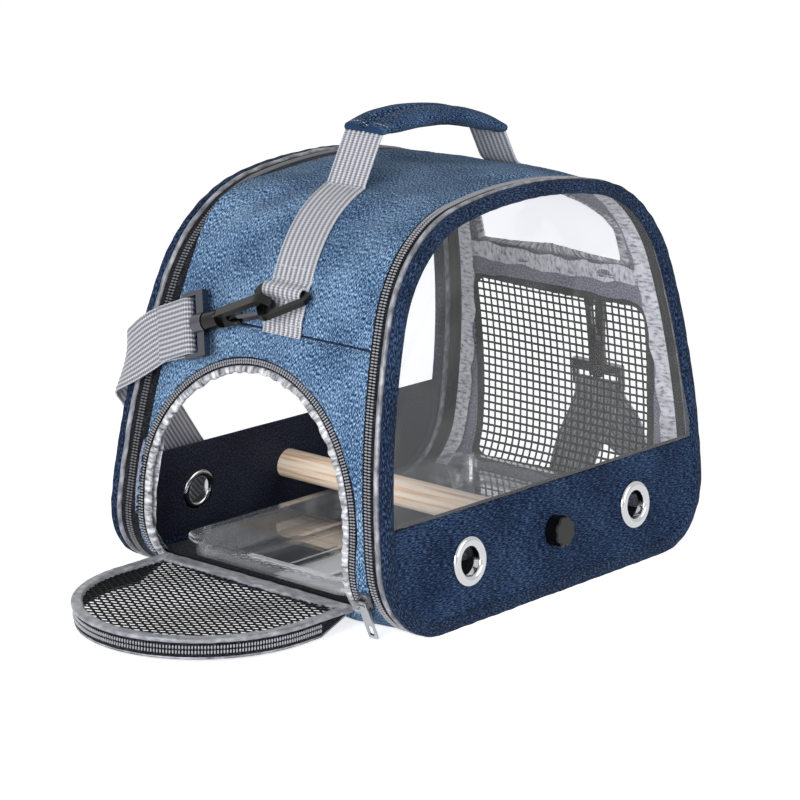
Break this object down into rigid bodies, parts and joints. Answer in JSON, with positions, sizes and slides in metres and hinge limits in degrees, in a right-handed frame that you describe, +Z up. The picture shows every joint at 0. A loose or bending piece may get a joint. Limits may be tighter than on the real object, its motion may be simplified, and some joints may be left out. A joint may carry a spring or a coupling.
{
  "type": "bird travel carrier",
  "caption": "Soft-sided bird travel carrier with clear fold-down front and back, mesh end, zipped mesh door, perch, slide-out tray, handle and shoulder strap.",
  "frame": {"origin": "on the floor under the middle of the cabin", "axes": "+X along the carrier from the door end to the mesh end, +Y from the front flap to the back flap, +Z up"},
  "size_m": [0.4904, 0.2706, 0.2992],
  "materials": {
    "blue_cloth": "heathered woven cloth",
    "navy_cloth": "heathered woven cloth",
    "navy_binding": "woven edge binding",
    "black_lining": "smooth lining",
    "grey_piping": "corded piping",
    "zip_tape": "coil zip on woven tape",
    "grey_binding": "gathered edge binding",
    "dark_mesh": "open woven mesh",
    "clear_vinyl": "clear, slightly wrinkled",
    "grey_webbing": "ribbed webbing",
    "nickel": "polished",
    "black_plastic": "glossy",
    "silver_metal": "satin",
    "beech": "bare sanded wood",
    "clear_tray": "clear glossy moulding",
    "dark_mat": "padded mat"
  },
  "bodies": {
    "carrier": {"floor_panel": "navy_cloth", "base_mat": "dark_mat", "left_end_panel": "blue_cloth", "right_end_panel": "blue_cloth", "roof_panel": "blue_cloth", "right_mesh_binding": "black_lining", "right_mesh": "dark_mesh", "skylight_binding": "grey_binding", "skylight_window": "clear_vinyl", "front_frame_zip": "zip_tape", "back_frame_zip": "zip_tape", "door_frame_zip": "zip_tape", "door_frame_binding": "grey_binding", "perch": "beech", "door_slider": "silver_metal", "front_slider": "silver_metal", "back_slider": "silver_metal", "handle_webbing": "grey_webbing", "handle_grip": "navy_cloth", "left_webbing": "grey_webbing", "right_tab": "grey_webbing", "shoulder_strap": "grey_webbing"},
    "door": {"door_binding": "grey_binding", "door_mesh": "dark_mesh", "door_rim": "zip_tape", "door_coil": "zip_tape"},
    "door_pull": {"door_pull": "silver_metal"},
    "front_pull": {"front_pull": "silver_metal"},
    "back_pull": {"back_pull": "silver_metal"},
    "front_flap": {"front_binding": "navy_binding", "front_piping": "grey_piping", "front_flap_zip": "zip_tape", "front_band": "navy_cloth", "front_band_lining": "black_lining", "front_eyelets": "nickel", "front_window": "clear_vinyl"},
    "back_flap": {"back_binding": "navy_binding", "back_piping": "grey_piping", "back_flap_zip": "zip_tape", "back_band": "navy_cloth", "back_band_lining": "black_lining", "back_eyelets": "nickel", "back_window": "clear_vinyl"},
    "front_knob": {"front_knob": "black_plastic"},
    "back_knob": {"back_knob": "black_plastic"},
    "tray": {"tray": "clear_tray"},
    "left_ring": {"left_ring": "black_plastic"},
    "left_hook": {"left_hook": "black_plastic"},
    "left_gate": {"left_gate": "black_plastic"},
    "left_strap_frame": {"left_strap_frame": "silver_metal"},
    "right_ring": {"right_ring": "black_plastic"},
    "right_hook": {"right_hook": "black_plastic"},
    "right_gate": {"right_gate": "black_plastic"},
    "right_strap_frame": {"right_strap_frame": "silver_metal"}
  },
  "joints": [
    {"name": "door_fold", "type": "hinge", "parent": "carrier", "child": "door", "pos_m": [-0.151, 0, 0.0152], "axis": [0, 1, 0], "range_deg": [0, 92]},
    {"name": "tray_slide", "type": "slide", "parent": "carrier", "child": "tray", "axis": [1, 0, 0], "range_m": [-0.24, 0]},
    {"name": "front_fold", "type": "hinge", "parent": "carrier", "child": "front_flap", "pos_m": [0, -0.122, 0], "axis": [1, 0, 0], "range_deg": [0, 75]},
    {"name": "back_fold", "type": "hinge", "parent": "carrier", "child": "back_flap", "pos_m": [0, 0.122, 0], "axis": [-1, 0, 0], "range_deg": [0, 75], "deforming": ["shoulder_strap"]},
    {"name": "front_knob_turn", "type": "hinge", "parent": "front_flap", "child": "front_knob", "pos_m": [0, -0.11739, 0.04], "axis": [0, -0.9934, 0.1146], "continuous": true},
    {"name": "back_knob_turn", "type": "hinge", "parent": "back_flap", "child": "back_knob", "pos_m": [0, 0.11739, 0.04], "axis": [0, 0.9934, 0.1146], "continuous": true},
    {"name": "door_pull_swing", "type": "hinge", "parent": "carrier", "child": "door_pull", "pos_m": [-0.16457, -0.097, 0.02486], "axis": [0, 1, 0], "range_deg": [0, 120]},
    {"name": "front_pull_swing", "type": "hinge", "parent": "carrier", "child": "front_pull", "pos_m": [0.16954, -0.10039, 0.0662], "axis": [0, -1, 0], "range_deg": [0, 120]},
    {"name": "back_pull_swing", "type": "hinge", "parent": "carrier", "child": "back_pull", "pos_m": [0.16954, 0.09839, 0.0662], "axis": [0, -1, 0], "range_deg": [0, 120]},
    {"name": "left_ring_swing", "type": "hinge", "parent": "carrier", "child": "left_ring", "pos_m": [-0.14546, -0.014, 0.20114], "axis": [0, 1, 0], "range_deg": [0, 60]},
    {"name": "left_hook_swing", "type": "hinge", "parent": "left_ring", "child": "left_hook", "pos_m": [-0.15804, -0.0077, 0.19316], "axis": [0.6046, 0.698, 0.3836], "range_deg": [0, 20]},
    {"name": "left_gate_press", "type": "hinge", "parent": "left_hook", "child": "left_gate", "pos_m": [-0.15482, 0.01653, 0.18052], "axis": [-0.7099, -0.2491, -0.6588], "range_deg": [0, 16], "stiffness_Nm_per_rad": 0.02, "springref_deg": -11.46},
    {"name": "left_swivel", "type": "hinge", "parent": "left_hook", "child": "left_strap_frame", "pos_m": [-0.15834, 0.04067, 0.17519], "axis": [0.0057, -0.9373, 0.3484], "range_deg": [-15, 15]},
    {"name": "right_ring_swing", "type": "hinge", "parent": "carrier", "child": "right_ring", "pos_m": [0.15429, -0.022, 0.17329], "axis": [0, -1, 0], "range_deg": [0, 60]},
    {"name": "right_hook_swing", "type": "hinge", "parent": "right_ring", "child": "right_hook", "pos_m": [0.16496, -0.022, 0.15302], "axis": [0, -1, 0], "range_deg": [0, 22]},
    {"name": "right_gate_press", "type": "hinge", "parent": "right_hook", "child": "right_gate", "pos_m": [0.16294, -0.022, 0.12773], "axis": [0, 1, 0], "range_deg": [0, 16], "stiffness_Nm_per_rad": 0.02, "springref_deg": -11.46},
    {"name": "right_swivel", "type": "hinge", "parent": "right_hook", "child": "right_strap_frame", "pos_m": [0.17122, -0.022, 0.10417], "axis": [-0.1439, 0, 0.9896], "range_deg": [-15, 15]}
  ]
}
